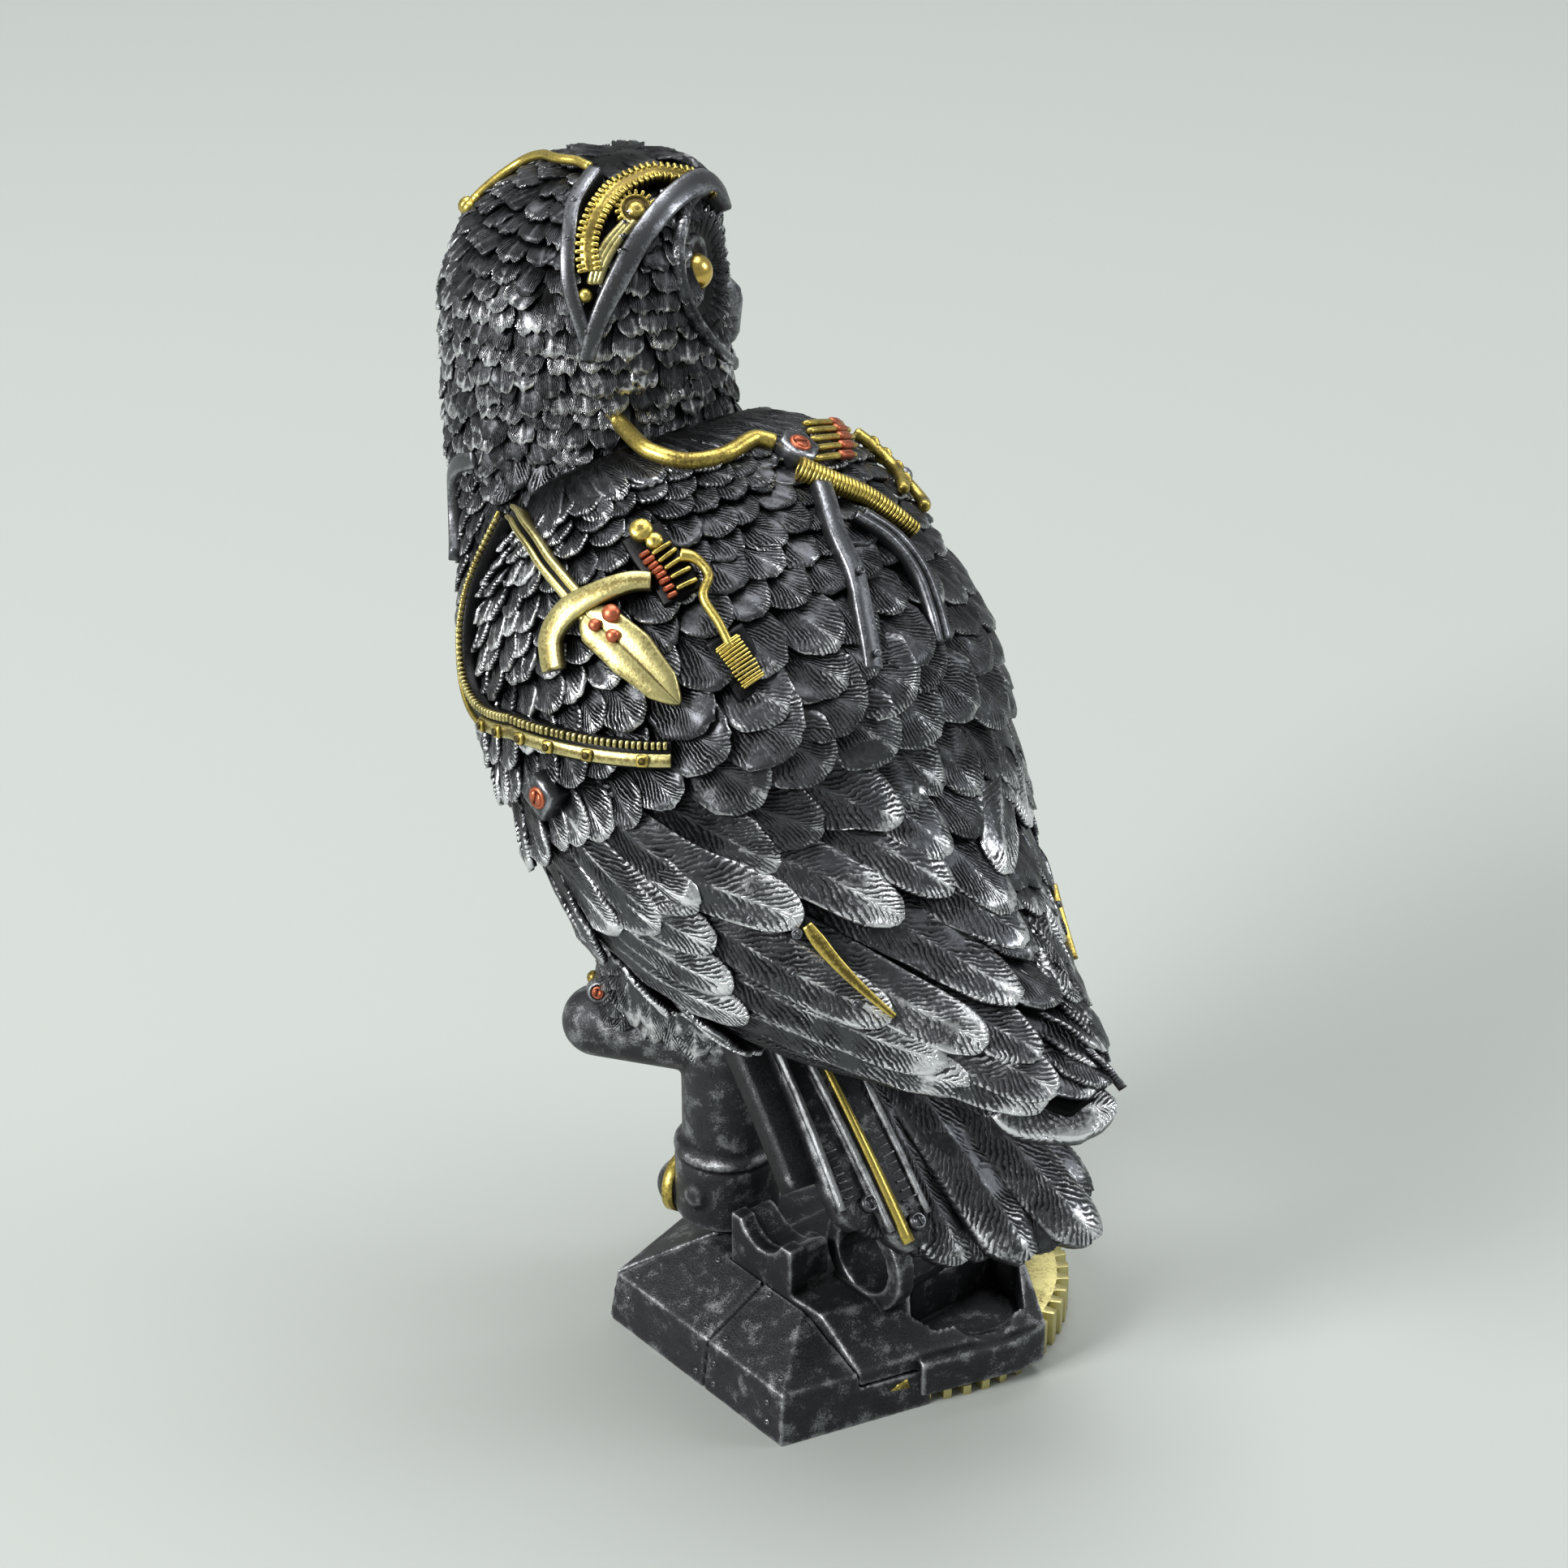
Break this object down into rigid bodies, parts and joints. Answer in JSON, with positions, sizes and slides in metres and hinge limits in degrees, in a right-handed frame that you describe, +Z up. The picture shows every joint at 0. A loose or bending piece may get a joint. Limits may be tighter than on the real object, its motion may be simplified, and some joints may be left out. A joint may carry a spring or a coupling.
{
  "type": "steampunk owl statue",
  "caption": "Owl figure with cast-in gears, pipes and blades, gripping an elbow pipe on a plated six-sided plinth with a toothed wheel.",
  "frame": {"origin": "centre of the plinth's flat underside", "axes": "+Z up, the owl's chest faces -Y and its left wing is on +X"},
  "size_m": [0.1148, 0.1788, 0.2509],
  "materials": {
    "dark_metal_paint": "near-black paint rubbed with silver on every raised edge",
    "brass_paint": "pale brass paint with dark wash in the hollows",
    "copper_paint": "copper-red paint on small nuts and blocks"
  },
  "bodies": {
    "root": {"owl": "dark_metal_paint", "perch_pipe": "dark_metal_paint", "plinth": "dark_metal_paint", "bearing_block": "dark_metal_paint", "gear_wheel": "brass_paint"}
  },
  "joints": []
}
